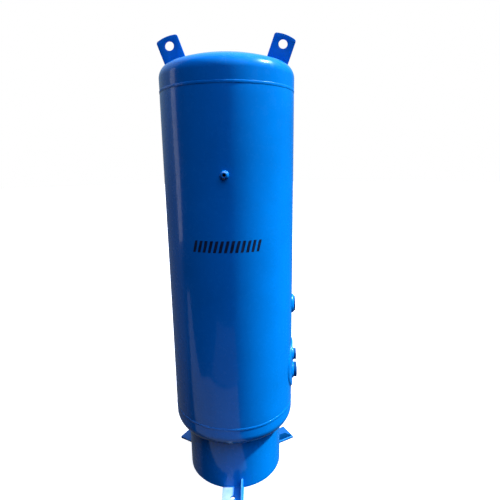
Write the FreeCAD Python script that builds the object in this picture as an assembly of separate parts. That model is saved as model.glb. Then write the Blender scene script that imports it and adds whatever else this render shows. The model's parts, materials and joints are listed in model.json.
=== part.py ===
import FreeCAD, Part
import math
import os

# A vertical compressed-air receiver of about 500 litres, welded from steel plate.
# Millimetres. The origin is on the floor at the centre of the skirt, +Z is up,
# the gauge socket faces -Y and the air sockets face +X.
# An azimuth is an angle about +Z, counted from -Y towards +X.

# Shell and dished heads
SHELL_RADIUS = 300.0
SHELL_LENGTH = 1505.0
PLATE = 6.0
BOTTOM_SEAM_HEIGHT = 370.0
TOP_SEAM_HEIGHT = BOTTOM_SEAM_HEIGHT + SHELL_LENGTH
TOP_FLANGE = 54.0
BOTTOM_FLANGE = 42.0
CROWN_RADIUS = 800.0
KNUCKLE_RADIUS = 60.0

# Butt welds, in a V groove with a raised cap
GROOVE_ROOT_HALF = 2.0
GROOVE_TOP_HALF = 6.0
CAP_HEIGHT = 2.0
LONG_SEAM_AZIMUTH = 205.0

# Skirt under the bottom head
SKIRT_RADIUS = 240.0
SKIRT_PLATE = 6.0
SKIRT_WELD_LEG = 9.0
WINDOW_WIDTH = 170.0
WINDOW_HEIGHT = 110.0
WINDOW_CENTRE_HEIGHT = 110.0
WINDOW_CORNER = 25.0

# Lifting lugs, square to the crown of the top head
LUG_WIDTH = 99.0
LUG_PLATE = 12.0
LUG_EYE_RADIUS = 20.0
LUG_EYE_FROM_AXIS = 250.5
LUG_EYE_ABOVE_SEAM = 203.5
LUG_TILT = 20.0
LUG_SHOULDER = 31.5
LUG_CREST = 39.0
LUG_ROOT = 110.0
LUG_CORNER = 11.0
LUG_WELD_LEG = 6.0

# Round reinforcing pad that the inlet and the safety valve share
SIDE_AZIMUTH = 90.0
PAD_RADIUS = 120.0
PAD_PLATE = 6.0
PAD_HEIGHT = 560.0
PAD_WELD_LEG = 5.0
PAD_FACE = SHELL_RADIUS + PAD_PLATE

# Threaded sockets: the bore is the minor radius of a G 1/4, G 3/4, G 1 1/4 or G 2 thread,
# and the edge is the radius of the rounding at the mouth
QUARTER_INCH = {"outer": 14.2, "bore": 5.7, "edge": 5.0}
THREE_QUARTER_INCH = {"outer": 17.5, "bore": 12.05}
INCH_AND_A_QUARTER = {"outer": 28.6, "bore": 19.45, "edge": 2.0}
TWO_INCH = {"outer": 38.1, "bore": 28.3, "edge": 2.0}
SOCKET_INNER_REACH = 8.0

# The mouth is the outer end's distance from the vessel's axis, the wall is the radius of
# the surface that the socket's weld lies on, and the leg is that weld's.
WALL_SOCKETS = {
    "gauge_socket": {"size": QUARTER_INCH, "azimuth": 0.0, "height": 1524.0,
                     "mouth": 314.0, "wall": SHELL_RADIUS, "leg": 5.0},
    "outlet_socket": {"size": TWO_INCH, "azimuth": SIDE_AZIMUTH, "height": 877.0,
                      "mouth": 315.0, "wall": SHELL_RADIUS, "leg": 10.0},
    "safety_valve_socket": {"size": INCH_AND_A_QUARTER, "azimuth": SIDE_AZIMUTH, "height": 600.0,
                            "mouth": 323.0, "wall": PAD_FACE, "leg": 6.0},
    "inlet_socket": {"size": TWO_INCH, "azimuth": SIDE_AZIMUTH, "height": 512.0,
                     "mouth": 327.0, "wall": PAD_FACE, "leg": 7.0},
}
PAD_SOCKETS = ("safety_valve_socket", "inlet_socket")

# Drain socket at the bottom head's lowest point
DRAIN_SIZE = THREE_QUARTER_INCH
DRAIN_STAND_OUT = 22.0
DRAIN_WELD_LEG = 5.0

# Three feet round the skirt, each a base plate with one gusset along one of its sides.
# The side is +1 towards growing azimuth.
FOOT_AZIMUTHS = {"front": 0.0, "right": 120.0, "left": 240.0}
GUSSET_SIDES = {"front": 1, "right": -1, "left": -1}
FOOT_WIDTH = 104.0
FOOT_REACH = 350.0
FOOT_PLATE = 8.0
FOOT_CORNER = 5.0
ANCHOR_CIRCLE_RADIUS = 305.0
ANCHOR_HOLE_RADIUS = 11.0
GUSSET_PLATE = 8.0
GUSSET_OFFSET = 43.0
GUSSET_HEIGHT = 52.0
GUSSET_TOP_REACH = 292.0
GUSSET_NOSE_HEIGHT = 16.0
GUSSET_NOSE_REACH = 344.0
FOOT_WELD_LEG = 4.0

# Head geometry that follows: the angle from the axis at which the crown meets the knuckle,
# and how far the crown's centre lies behind the end of the head's flange
CROWN_TO_KNUCKLE = CROWN_RADIUS - KNUCKLE_RADIUS
KNUCKLE_CIRCLE = SHELL_RADIUS - KNUCKLE_RADIUS
CROWN_ANGLE = math.asin(KNUCKLE_CIRCLE / CROWN_TO_KNUCKLE)
CROWN_SETBACK = CROWN_TO_KNUCKLE * math.cos(CROWN_ANGLE)

ORIGIN = FreeCAD.Vector(0, 0, 0)
X_AXIS = FreeCAD.Vector(1, 0, 0)
Y_AXIS = FreeCAD.Vector(0, 1, 0)
Z_AXIS = FreeCAD.Vector(0, 0, 1)
OUTWARD = FreeCAD.Vector(0, -1, 0)
FAR = 400.0
OVERRUN = 1.0
TOLERANCE = 0.01


def in_section(radius, height):
    """A point of the XZ half plane that solids of revolution are drawn in."""
    return FreeCAD.Vector(radius, 0, height)


def line(start, end):
    return Part.LineSegment(start, end).toShape()


def arc(start, middle, end):
    return Part.Arc(start, middle, end).toShape()


def revolved(edges):
    face = Part.Face(Part.Wire(edges))
    return face.revolve(ORIGIN, Z_AXIS, 360)


def edges_along(shape, axis):
    """The edges of a straight-sided shape that run along an axis."""
    return [edge for edge in shape.Edges
            if edge.tangentAt(edge.FirstParameter).cross(axis).Length < TOLERANCE]


def turned(shape, azimuth):
    """The shape, drawn at the front, carried round the axis to its azimuth."""
    copy = shape.copy()
    copy.rotate(ORIGIN, Z_AXIS, azimuth)
    return copy


def outward_cylinder(radius, start, end, height):
    """A cylinder that points out of the front, between two distances from the axis."""
    return Part.makeCylinder(radius, end - start, FreeCAD.Vector(0, -start, height), OUTWARD)


# Dished head: straight flange, knuckle and crown, drawn from its seam upwards
def head_outline(flange, offset):
    """Edges and end points of the head's outer profile, moved out by offset."""
    knuckle = KNUCKLE_RADIUS + offset
    crown = CROWN_RADIUS + offset
    crown_centre = flange - CROWN_SETBACK

    def on_knuckle(angle):
        return in_section(KNUCKLE_CIRCLE + knuckle * math.sin(angle),
                          flange + knuckle * math.cos(angle))

    def on_crown(angle):
        return in_section(crown * math.sin(angle), crown_centre + crown * math.cos(angle))

    seam = in_section(SHELL_RADIUS + offset, 0)
    flange_end = on_knuckle(math.pi / 2)
    knuckle_end = on_knuckle(CROWN_ANGLE)
    apex = on_crown(0)
    edges = [
        line(seam, flange_end),
        arc(flange_end, on_knuckle((math.pi / 2 + CROWN_ANGLE) / 2), knuckle_end),
        arc(knuckle_end, on_crown(CROWN_ANGLE / 2), apex),
    ]
    return edges, seam, apex


def head_plate(flange):
    outer, outer_seam, outer_apex = head_outline(flange, 0)
    inner, inner_seam, inner_apex = head_outline(flange, -PLATE)
    closing = [line(outer_apex, inner_apex), line(inner_seam, outer_seam)]
    return revolved(Part.sortEdges(outer + inner + closing)[0])


def head_envelope(flange, offset):
    """The filled shape under the head's outer surface."""
    outer, seam, apex = head_outline(flange, offset)
    closing = [line(apex, ORIGIN), line(ORIGIN, seam)]
    return revolved(Part.sortEdges(outer + closing)[0])


def on_top(shape):
    copy = shape.copy()
    copy.translate(FreeCAD.Vector(0, 0, TOP_SEAM_HEIGHT))
    return copy


def at_bottom(shape):
    copy = shape.copy()
    copy.rotate(ORIGIN, X_AXIS, 180)
    copy.translate(FreeCAD.Vector(0, 0, BOTTOM_SEAM_HEIGHT))
    return copy


# Butt welds of the vessel
def round_seam(height):
    inner = SHELL_RADIUS - PLATE
    root_low = in_section(inner, height - GROOVE_ROOT_HALF)
    toe_low = in_section(SHELL_RADIUS, height - GROOVE_TOP_HALF)
    cap = in_section(SHELL_RADIUS + CAP_HEIGHT, height)
    toe_high = in_section(SHELL_RADIUS, height + GROOVE_TOP_HALF)
    root_high = in_section(inner, height + GROOVE_ROOT_HALF)
    return revolved([
        line(root_low, toe_low),
        arc(toe_low, cap, toe_high),
        line(toe_high, root_high),
        line(root_high, root_low),
    ])


def long_seam(round_seams):
    inner = SHELL_RADIUS - PLATE
    base = BOTTOM_SEAM_HEIGHT
    toe = math.sqrt(SHELL_RADIUS ** 2 - GROOVE_TOP_HALF ** 2)
    root = math.sqrt(inner ** 2 - GROOVE_ROOT_HALF ** 2)
    root_left = FreeCAD.Vector(-GROOVE_ROOT_HALF, -root, base)
    toe_left = FreeCAD.Vector(-GROOVE_TOP_HALF, -toe, base)
    cap = FreeCAD.Vector(0, -SHELL_RADIUS - CAP_HEIGHT, base)
    toe_right = FreeCAD.Vector(GROOVE_TOP_HALF, -toe, base)
    root_right = FreeCAD.Vector(GROOVE_ROOT_HALF, -root, base)
    root_middle = FreeCAD.Vector(0, -inner, base)
    section = Part.Face(Part.Wire([
        line(root_left, toe_left),
        arc(toe_left, cap, toe_right),
        line(toe_right, root_right),
        arc(root_right, root_middle, root_left),
    ]))
    bead = turned(section.extrude(Z_AXIS * SHELL_LENGTH), LONG_SEAM_AZIMUTH)
    return bead.cut(round_seams)


# Sockets
def socket(made):
    """A bored socket that points out of the front, its outer mouth rounded."""
    size = made["size"]
    inner_end = SHELL_RADIUS - PLATE - SOCKET_INNER_REACH
    body = outward_cylinder(size["outer"], inner_end, made["mouth"], made["height"])
    body = body.makeFillet(size["edge"], [mouth_edge(body, -made["mouth"])])
    bore = outward_cylinder(size["bore"], inner_end - OVERRUN, made["mouth"] + OVERRUN, made["height"])
    return body.cut(bore)


def socket_hole(made):
    return outward_cylinder(made["size"]["outer"], 0, FAR, made["height"])


def mouth_edge(body, y):
    """The circle of a front-facing cylinder that lies in the plane at y."""
    for edge in body.Edges:
        if max(abs(edge.BoundBox.YMin - y), abs(edge.BoundBox.YMax - y)) < TOLERANCE:
            return edge


def socket_weld(made):
    """A round bead where a front-facing socket meets the round wall."""
    outer = made["size"]["outer"]
    saddle = outer ** 2 / (4 * made["wall"])
    centre = FreeCAD.Vector(0, saddle - made["wall"], made["height"])
    ring = Part.makeTorus(outer, made["leg"], centre, OUTWARD)
    wall = Part.makeCylinder(made["wall"], 4 * outer, FreeCAD.Vector(0, 0, made["height"] - 2 * outer))
    return ring.cut([wall, socket_hole(made)])


# Reinforcing pad
def round_patch(radius, inner, outer):
    """A round patch of the cylindrical wall between two vessel radii, at the front."""
    foot = FreeCAD.Vector(0, 0, PAD_HEIGHT - radius - OVERRUN)
    tall = 2 * (radius + OVERRUN)
    layer = Part.makeCylinder(outer, tall, foot).cut(Part.makeCylinder(inner, tall, foot))
    return layer.common(outward_cylinder(radius, 0, FAR, PAD_HEIGHT))


def reinforcing_pad():
    pad = round_patch(PAD_RADIUS, SHELL_RADIUS, PAD_FACE)
    return pad.cut([socket_hole(WALL_SOCKETS[name]) for name in PAD_SOCKETS])


def pad_weld():
    outer = round_patch(PAD_RADIUS + PAD_WELD_LEG, SHELL_RADIUS, SHELL_RADIUS + PAD_WELD_LEG)
    return outer.cut(outward_cylinder(PAD_RADIUS, 0, FAR, PAD_HEIGHT))


# Skirt
def drain_window():
    """The rounded opening at the rear that a hand reaches the drain through."""
    box = Part.makeBox(WINDOW_WIDTH, SKIRT_RADIUS, WINDOW_HEIGHT)
    box.translate(FreeCAD.Vector(-WINDOW_WIDTH / 2, 0, WINDOW_CENTRE_HEIGHT - WINDOW_HEIGHT / 2))
    window = box.makeFillet(WINDOW_CORNER, edges_along(box, Y_AXIS))
    window.translate(FreeCAD.Vector(0, SKIRT_RADIUS / 2, 0))
    return window


def skirt(bottom_envelope):
    outer = Part.makeCylinder(SKIRT_RADIUS, BOTTOM_SEAM_HEIGHT)
    inner = Part.makeCylinder(SKIRT_RADIUS - SKIRT_PLATE, BOTTOM_SEAM_HEIGHT)
    return outer.cut([inner, bottom_envelope, drain_window()])


def skirt_weld(bottom_envelope):
    """A round bead in the corner between the skirt and the bottom head."""
    crown_drop = math.sqrt(CROWN_RADIUS ** 2 - SKIRT_RADIUS ** 2)
    corner_height = BOTTOM_SEAM_HEIGHT - BOTTOM_FLANGE + CROWN_SETBACK - crown_drop
    ring = Part.makeTorus(SKIRT_RADIUS, SKIRT_WELD_LEG, FreeCAD.Vector(0, 0, corner_height), Z_AXIS)
    return ring.cut([bottom_envelope, Part.makeCylinder(SKIRT_RADIUS, BOTTOM_SEAM_HEIGHT)])


# Lifting lugs, drawn upright about the eye and then leaned outwards
def lug_blank(width, thickness):
    half = width / 2
    grown = half - LUG_WIDTH / 2
    root_left = in_section(-half, -LUG_ROOT)
    shoulder_left = in_section(-half, LUG_SHOULDER + grown)
    crest = in_section(0, LUG_CREST + grown)
    shoulder_right = in_section(half, LUG_SHOULDER + grown)
    root_right = in_section(half, -LUG_ROOT)
    outline = Part.Face(Part.Wire([
        line(root_left, shoulder_left),
        arc(shoulder_left, crest, shoulder_right),
        line(shoulder_right, root_right),
        line(root_right, root_left),
    ]))
    outline.translate(FreeCAD.Vector(0, -thickness / 2, 0))
    return outline.extrude(Y_AXIS * thickness)


def leaned(shape):
    copy = shape.copy()
    copy.rotate(ORIGIN, Y_AXIS, LUG_TILT)
    copy.translate(FreeCAD.Vector(LUG_EYE_FROM_AXIS, 0, TOP_SEAM_HEIGHT + LUG_EYE_ABOVE_SEAM))
    return copy


def lifting_lug(top_envelope):
    plate = lug_blank(LUG_WIDTH, LUG_PLATE)
    shoulders = [edge for edge in edges_along(plate, Y_AXIS) if edge.BoundBox.ZMin > 0]
    plate = plate.makeFillet(LUG_CORNER, shoulders)
    eye = outward_cylinder(LUG_EYE_RADIUS, -LUG_PLATE, LUG_PLATE, 0)
    return leaned(plate.cut(eye)).cut(top_envelope)


def lug_weld(top_envelope):
    around = leaned(lug_blank(LUG_WIDTH + 2 * LUG_WELD_LEG, LUG_PLATE + 2 * LUG_WELD_LEG))
    plate = leaned(lug_blank(LUG_WIDTH, LUG_PLATE))
    layer = on_top(head_envelope(TOP_FLANGE, LUG_WELD_LEG)).cut(top_envelope)
    return around.common(layer).cut(plate)


def other_side(shape):
    return shape.mirror(ORIGIN, X_AXIS)


# Feet, drawn at the front
def skirt_bar():
    return Part.makeCylinder(SKIRT_RADIUS, BOTTOM_SEAM_HEIGHT)


def foot_plate():
    depth = FOOT_REACH - SKIRT_RADIUS / 2
    plate = Part.makeBox(FOOT_WIDTH, depth, FOOT_PLATE,
                         FreeCAD.Vector(-FOOT_WIDTH / 2, -FOOT_REACH, 0))
    corners = [edge for edge in edges_along(plate, Z_AXIS) if edge.BoundBox.YMax < -SKIRT_RADIUS]
    plate = plate.makeFillet(FOOT_CORNER, corners)
    hole = Part.makeCylinder(ANCHOR_HOLE_RADIUS, FOOT_PLATE,
                             FreeCAD.Vector(0, -ANCHOR_CIRCLE_RADIUS, 0))
    return plate.cut([skirt_bar(), hole])


def gusset():
    """An upright rib near the left edge of the base plate, its outer corner cut away."""
    inner = SKIRT_RADIUS / 2
    corners = [
        (inner, FOOT_PLATE),
        (GUSSET_NOSE_REACH, FOOT_PLATE),
        (GUSSET_NOSE_REACH, GUSSET_NOSE_HEIGHT),
        (GUSSET_TOP_REACH, GUSSET_HEIGHT),
        (inner, GUSSET_HEIGHT),
    ]
    face = -GUSSET_OFFSET - GUSSET_PLATE / 2
    points = [FreeCAD.Vector(face, -reach, height) for reach, height in corners]
    outline = Part.Face(Part.makePolygon(points + points[:1]))
    return outline.extrude(X_AXIS * GUSSET_PLATE).cut(skirt_bar())


def foot_weld(plate, rib):
    """Round beads along the rib's foot, up the rib's inner edge and along the plate's."""
    beads = []
    for face in (-GUSSET_PLATE / 2, GUSSET_PLATE / 2):
        x = face - GUSSET_OFFSET
        along = FreeCAD.Vector(x, -GUSSET_NOSE_REACH, FOOT_PLATE)
        beads.append(Part.makeCylinder(FOOT_WELD_LEG, GUSSET_NOSE_REACH - SKIRT_RADIUS / 2,
                                       along, Y_AXIS))
        contact = FreeCAD.Vector(x, -math.sqrt(SKIRT_RADIUS ** 2 - x ** 2), FOOT_PLATE)
        beads.append(Part.makeCylinder(FOOT_WELD_LEG, GUSSET_HEIGHT - FOOT_PLATE, contact))
    ring = Part.makeTorus(SKIRT_RADIUS, FOOT_WELD_LEG, FreeCAD.Vector(0, 0, FOOT_PLATE), Z_AXIS)
    strip = Part.makeBox(FOOT_WIDTH, FOOT_REACH, GUSSET_HEIGHT,
                         FreeCAD.Vector(-FOOT_WIDTH / 2, -FOOT_REACH, 0))
    beads.append(ring.common(strip))
    welded = beads[0].fuse(beads[1:])
    return welded.cut([skirt_bar(), plate, rib])


# Assembly
pieces = {}
top_envelope = on_top(head_envelope(TOP_FLANGE, 0))
bottom_envelope = at_bottom(head_envelope(BOTTOM_FLANGE, 0))

top_seam = round_seam(TOP_SEAM_HEIGHT)
bottom_seam = round_seam(BOTTOM_SEAM_HEIGHT)
long_bead = long_seam([top_seam, bottom_seam])
pieces["top_seam_weld"] = top_seam
pieces["bottom_seam_weld"] = bottom_seam
pieces["long_seam_weld"] = long_bead

socket_holes = []
for name, made in WALL_SOCKETS.items():
    pieces[name] = turned(socket(made), made["azimuth"])
    pieces[name + "_weld"] = turned(socket_weld(made), made["azimuth"])
    socket_holes.append(turned(socket_hole(made), made["azimuth"]))

pieces["reinforcing_pad"] = turned(reinforcing_pad(), SIDE_AZIMUTH)
pieces["reinforcing_pad_weld"] = turned(pad_weld(), SIDE_AZIMUTH)

tube = Part.makeCylinder(SHELL_RADIUS, SHELL_LENGTH, FreeCAD.Vector(0, 0, BOTTOM_SEAM_HEIGHT))
tube = tube.cut(Part.makeCylinder(SHELL_RADIUS - PLATE, SHELL_LENGTH,
                                  FreeCAD.Vector(0, 0, BOTTOM_SEAM_HEIGHT)))
pieces["shell"] = tube.cut([top_seam, bottom_seam, long_bead] + socket_holes)
pieces["top_head"] = on_top(head_plate(TOP_FLANGE)).cut(top_seam)

apex_height = bottom_envelope.BoundBox.ZMin
drain_foot = FreeCAD.Vector(0, 0, apex_height - DRAIN_STAND_OUT)
drain_length = DRAIN_STAND_OUT + PLATE + SOCKET_INNER_REACH
drain_bar = Part.makeCylinder(DRAIN_SIZE["outer"], drain_length, drain_foot)
drain_bore = Part.makeCylinder(DRAIN_SIZE["bore"], drain_length, drain_foot)
drain_ring = Part.makeTorus(DRAIN_SIZE["outer"], DRAIN_WELD_LEG,
                            FreeCAD.Vector(0, 0, apex_height), Z_AXIS)
pieces["drain_socket"] = drain_bar.cut(drain_bore)
pieces["drain_socket_weld"] = drain_ring.cut([bottom_envelope, drain_bar])
pieces["bottom_head"] = at_bottom(head_plate(BOTTOM_FLANGE)).cut([bottom_seam, drain_bar])

pieces["skirt"] = skirt(bottom_envelope)
pieces["skirt_weld"] = skirt_weld(bottom_envelope)

right_lug = lifting_lug(top_envelope)
right_lug_weld = lug_weld(top_envelope)
pieces["lifting_lug_right"] = right_lug
pieces["lifting_lug_left"] = other_side(right_lug)
pieces["lug_weld_right"] = right_lug_weld
pieces["lug_weld_left"] = other_side(right_lug_weld)

plate = foot_plate()
rib = gusset()
rib_weld = foot_weld(plate, rib)
for place, azimuth in FOOT_AZIMUTHS.items():
    pieces[place + "_foot_plate"] = turned(plate, azimuth)
    if GUSSET_SIDES[place] > 0:
        pieces[place + "_foot_gusset"] = turned(other_side(rib), azimuth)
        pieces[place + "_foot_weld"] = turned(other_side(rib_weld), azimuth)
    else:
        pieces[place + "_foot_gusset"] = turned(rib, azimuth)
        pieces[place + "_foot_weld"] = turned(rib_weld, azimuth)

os.makedirs("parts", exist_ok=True)
for name, shape in pieces.items():
    shape.exportStep("parts/" + name + ".step")
    print(name, len(shape.Solids), round(shape.Volume / 1000, 2), "cm3", shape.isValid())
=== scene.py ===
import bmesh
import bpy
import json
import math
import numpy as np
from mathutils import Matrix, Vector


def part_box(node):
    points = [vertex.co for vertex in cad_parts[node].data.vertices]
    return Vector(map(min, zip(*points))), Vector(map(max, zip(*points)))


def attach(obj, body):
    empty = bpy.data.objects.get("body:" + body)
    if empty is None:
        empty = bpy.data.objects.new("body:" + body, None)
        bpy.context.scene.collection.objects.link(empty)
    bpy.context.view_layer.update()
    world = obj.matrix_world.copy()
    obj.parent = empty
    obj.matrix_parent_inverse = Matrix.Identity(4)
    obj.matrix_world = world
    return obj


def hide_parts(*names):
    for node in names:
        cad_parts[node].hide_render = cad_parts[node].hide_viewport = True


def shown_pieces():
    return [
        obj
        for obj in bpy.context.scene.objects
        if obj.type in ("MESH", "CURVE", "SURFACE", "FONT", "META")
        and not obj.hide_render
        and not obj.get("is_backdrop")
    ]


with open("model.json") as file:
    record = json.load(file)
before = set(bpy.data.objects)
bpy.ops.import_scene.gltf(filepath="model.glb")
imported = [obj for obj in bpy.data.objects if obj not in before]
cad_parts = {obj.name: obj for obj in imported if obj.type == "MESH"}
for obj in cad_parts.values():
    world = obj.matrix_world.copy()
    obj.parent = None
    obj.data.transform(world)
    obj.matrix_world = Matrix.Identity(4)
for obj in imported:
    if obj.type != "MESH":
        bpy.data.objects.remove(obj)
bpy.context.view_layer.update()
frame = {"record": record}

# An upright air receiver in blue enamel. Metres, in the frame of the CAD model: the origin is
# on the floor under the vessel's axis, +Z is up, the gauge socket faces -Y, the air sockets +X.
# An azimuth is an angle about +Z, counted from -Y towards +X.

# Camera
CAMERA_PLACE = Vector((0.1267, -1.9071, 1.5735))
CAMERA_YAW = math.radians(-1.011)
CAMERA_PITCH = math.radians(-12.447)
CAMERA_ROLL = math.radians(-0.773)
CAMERA_LENS = 28.66
CAMERA_SENSOR = 36.0

# Light
KEY_AZIMUTH = math.radians(94.5)
KEY_ELEVATION = math.radians(49)
KEY_STRENGTH = 8.7
KEY_ANGLE = math.radians(4)
KEY_COLOUR = (0.7, 1.0, 0.81)
SKY_FOCUS = 3.0
CARD_COLOUR = (0.5, 0.62, 0.74, 1.0)
SKY_COLOUR = (3.2, 3.7, 4.9, 1.0)
STUDIO_FRONT = (0.0, 0.012, 0.03, 1.0)
BACKDROP_LOW = (0.12, 0.15, 0.20, 1.0)
BACKDROP_HIGH = (0.48, 0.74, 0.93, 1.0)
FLAG_BLACK = (0.01, 0.01, 0.01, 1.0)
FLOOR_GLOW = 0.78
FLOOR_RADIUS = 30.0
CARD_LIFT = 0.001
FLAG_START = -150
FLAG_END = -35
FLAG_STATIONS = 24
FLAG_DISTANCE = 0.8
FLAG_HEIGHT = 0.95
SOFTBOX_AIM = Vector((0.0, 0.0, 1.1))

# Paint
ENAMEL = (0.0, 0.155, 0.62)
NAVY = (0.004, 0.008, 0.03)
STEEL = (0.17, 0.165, 0.16)
# Dust colour; on the gauge socket and the front foot's plate the dust also stands in for the sun's sheen
# (painted highlight)
DUST_SHEEN = (0.50, 0.48, 0.46)
PRIMER = (0.03, 0.045, 0.07)
RUST = (0.10, 0.035, 0.012)
OILY_STEEL = (0.09, 0.09, 0.095)
THIN_NAVY = (0.006, 0.02, 0.085)
ENAMEL_GLOSS = 0.12
COAT_WEIGHT = 0.4
COAT_ROUGHNESS = 0.07
PEEL_DEPTH = 0.0006
# Across the object, where the rib's cast shadow begins on the front foot's plate: the dust that stands in for
# sheen fades out here
RIB_SHADOW_EDGE = (-0.008, 0.004)

# Sizes that the frame gives
SHELL_RADIUS = round(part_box("shell")[1].x, 4)
TOP_SEAM = sum(corner.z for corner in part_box("top_seam_weld")) / 2
BOTTOM_SEAM = sum(corner.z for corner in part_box("bottom_seam_weld")) / 2
SKIRT_RADIUS = round(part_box("skirt")[1].x, 4)
FOOT_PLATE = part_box("front_foot_plate")[1].z
FOOT_REACH = -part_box("front_foot_plate")[0].y
FOOT_HALF_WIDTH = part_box("front_foot_plate")[1].x
GUSSET_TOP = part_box("front_foot_gusset")[1].z
GUSSET_NOSE_REACH = -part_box("front_foot_gusset")[0].y
MOUNTS = {mount["name"]: mount for mount in frame["record"]["mounts"]}

# Sizes that the boxes don't give
PLATE = 0.006
TOP_FLANGE = 0.054
BOTTOM_FLANGE = 0.042
CROWN_RADIUS = 0.8
KNUCKLE_RADIUS = 0.06
LONG_SEAM_AZIMUTH = math.radians(205)
SEAM_HALF_WIDTH = 0.006
SEAM_CAP = 0.0009
WINDOW_SIZE = (0.17, 0.11)
WINDOW_HEIGHT = 0.11
WINDOW_CORNER = 0.025
SIDE_DEGREES = 90
LUG_TILT = math.radians(20)
LUG_PLATE = 0.012
LUG_HALF_WIDTH = 0.0495
LUG_SHOULDER = 0.0315
LUG_CREST = 0.039
LUG_CORNER = 0.011
GUSSET_PLATE = 0.008
GUSSET_OFFSET = 0.043
GUSSET_TOP_REACH = 0.292
GUSSET_NOSE_HEIGHT = 0.016
FOOT_CORNER = 0.005
FOOT_ROUNDING = 0.0008
GUSSET_CORNER = 0.0012
GUSSET_ROUNDING = 0.0007
LUG_ROUNDING = 0.0009
SKIRT_ROUNDING = 0.0008
PAD_ROUNDING = 0.001
SOCKET_ROUNDING = 0.0016
GAUGE_ROUNDING = 0.0048
FOOT_AZIMUTHS = {"front": 0, "right": 120, "left": 240}
GUSSET_SIDES = {"front": 1, "right": -1, "left": -1}

# The knuckle's end, as an angle from the head's axis, and the crowns' centres
KNUCKLE_CIRCLE = SHELL_RADIUS - KNUCKLE_RADIUS
CROWN_TO_KNUCKLE = CROWN_RADIUS - KNUCKLE_RADIUS
CROWN_ANGLE = math.asin(KNUCKLE_CIRCLE / CROWN_TO_KNUCKLE)
CROWN_SETBACK = CROWN_TO_KNUCKLE * math.cos(CROWN_ANGLE)
TOP_CROWN_CENTRE = TOP_SEAM + TOP_FLANGE - CROWN_SETBACK
BOTTOM_CROWN_CENTRE = BOTTOM_SEAM - BOTTOM_FLANGE + CROWN_SETBACK

# Legs of the welds, and the spacing of their ripples
SEAM_PITCH = 0.0045
SKIRT_WELD_LEG = 0.009
SKIRT_WELD_PITCH = 0.005
GAUGE_WELD_LEG = 0.005
OUTLET_WELD_LEG = 0.010
SAFETY_WELD_LEG = 0.006
INLET_WELD_LEG = 0.007
DRAIN_WELD_LEG = 0.005
PAD_WELD_LEG = 0.005
SOCKET_WELD_PITCH = 0.004
LUG_WELD_LEG = 0.006
LUG_WELD_PITCH = 0.004
FOOT_WELD_LEG = 0.004
FOOT_WELD_PITCH = 0.0034

# Stencilled band
DASHES = 13
DASHES_START = math.radians(-28.5)
DASHES_END = math.radians(29)
DASHES_LOW = 1.206
DASHES_HIGH = 1.256
DASH_SHARE = 0.55
DASH_SLANT = 0.013
DASH_FILM = 0.0002
DASH_ROOT = -0.0006
DASH_CORNER = 0.003

# Where the tools that cut through the walls start and end, from the vessel's axis
CUT_START = 0.2
CUT_END = 0.4
WINDOW_CUT = (0.15, 0.3)

# Mesh density
ROUND_STEPS = 288
SOCKET_STEPS = 96
RIPPLE_POINTS = 6
BEAD_POINTS = 9
OUTLINE_STEP = 0.0006
SEAM_BAND = 0.09

UP = np.array([0.0, 0.0, 1.0])


# Node trees
def add_node(tree, kind, inputs=None, **settings):
    """A shader node with its settings, and its inputs set to values or linked to sockets."""
    made = tree.nodes.new(kind)
    for key, value in settings.items():
        setattr(made, key, value)
    for key, value in (inputs or {}).items():
        if isinstance(value, bpy.types.NodeSocket):
            tree.links.new(value, made.inputs[key])
        else:
            made.inputs[key].default_value = value
    return made


def rgba(colour):
    return (colour[0], colour[1], colour[2], 1.0)


def mixed(tree, factor, first, second):
    made = add_node(tree, "ShaderNodeMix", data_type="RGBA")
    for index, value in ((0, factor), (6, first), (7, second)):
        if isinstance(value, bpy.types.NodeSocket):
            tree.links.new(value, made.inputs[index])
        else:
            made.inputs[index].default_value = value
    return made.outputs[2]


def ranged(tree, value, low, high, out_low, out_high):
    made = add_node(tree, "ShaderNodeMapRange", {
        "Value": value, "From Min": low, "From Max": high, "To Min": out_low, "To Max": out_high})
    return made.outputs[0]


def maths(tree, operation, first, second):
    return add_node(tree, "ShaderNodeMath", {0: first, 1: second}, operation=operation).outputs[0]


def noise(tree, place, scale, detail=3.0, roughness=0.5):
    made = add_node(tree, "ShaderNodeTexNoise", {
        "Vector": place, "Scale": scale, "Detail": detail, "Roughness": roughness})
    return made.outputs["Fac"]


def placed(tree, scale=(1.0, 1.0, 1.0)):
    """The point on the object in the row frame, stretched by a scale."""
    here = add_node(tree, "ShaderNodeTexCoord").outputs["Object"]
    return add_node(tree, "ShaderNodeMapping", {"Vector": here, "Scale": scale}).outputs["Vector"]


def new_material(name):
    made = bpy.data.materials.new(name)
    made.use_nodes = True
    made.node_tree.nodes.clear()
    return made, made.node_tree


def surfaced(tree, surface):
    out = add_node(tree, "ShaderNodeOutputMaterial")
    tree.links.new(surface.outputs[0], out.inputs[0])


def facing_up(tree):
    return add_node(tree, "ShaderNodeSeparateXYZ", {
        0: add_node(tree, "ShaderNodeNewGeometry").outputs["Normal"]}).outputs["Z"]


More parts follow.
